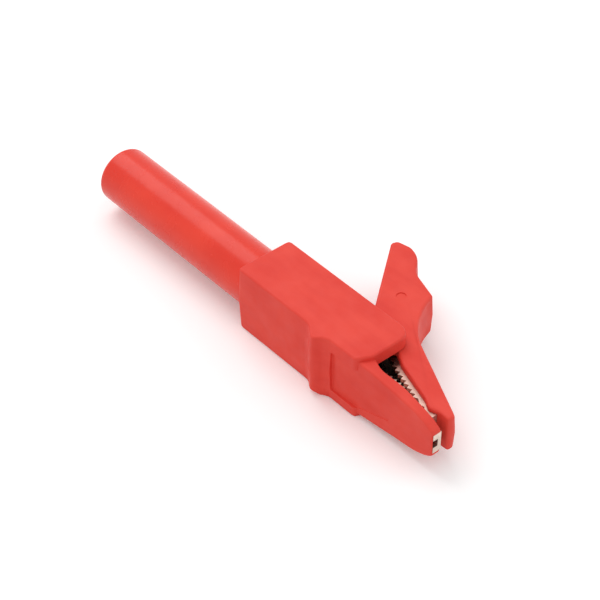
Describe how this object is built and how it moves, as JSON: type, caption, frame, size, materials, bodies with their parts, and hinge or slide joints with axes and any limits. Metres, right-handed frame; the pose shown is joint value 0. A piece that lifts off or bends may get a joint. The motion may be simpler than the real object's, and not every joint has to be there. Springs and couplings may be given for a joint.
{
  "type": "insulated crocodile clip",
  "caption": "Fully insulated crocodile clip with a sprung thumb lever, toothed folded-sheet jaws and a shrouded lead socket.",
  "frame": {"origin": "centre of the metal socket's mouth, on the socket's axis", "axes": "+X from the lead end to the nose, +Y to the side of the thumb lever, +Z parallel to the jaw pivot; the clip lies on its -Z side"},
  "size_m": [0.0875, 0.0302, 0.013],
  "materials": {
    "housing_plastic": "satin moulded polyamide",
    "tube_plastic": "glossy moulded polyamide",
    "lever_plastic": "satin moulded polyamide",
    "plug_plastic": "satin moulded polyamide",
    "plated_sheet": "nickel-plated spring sheet",
    "plated_brass": "nickel-plated turned brass",
    "rivet_brass": "bare brass",
    "pin_steel": "ground",
    "spring_steel": "drawn wire"
  },
  "bodies": {
    "handle": {"housing": "housing_plastic", "socket_tube": "tube_plastic", "socket_sleeve": "plated_brass", "sleeve_ring": "spring_steel", "contact_rivet": "rivet_brass", "fixed_jaw_contact": "plated_sheet", "pivot_pin": "pin_steel", "pin_plug": "plug_plastic", "torsion_spring": "spring_steel"},
    "lever": {"lever_shell": "lever_plastic", "moving_jaw_contact": "plated_sheet", "lever_cross_pin": "pin_steel"}
  },
  "joints": [
    {"name": "jaw_pivot", "type": "hinge", "parent": "handle", "child": "lever", "pos_m": [0.0603, 0.0009, 0], "axis": [0, 0, 1], "range_deg": [0, 28], "stiffness_Nm_per_rad": 0.004, "springref_deg": -28.65, "deforming": ["torsion_spring"]}
  ]
}
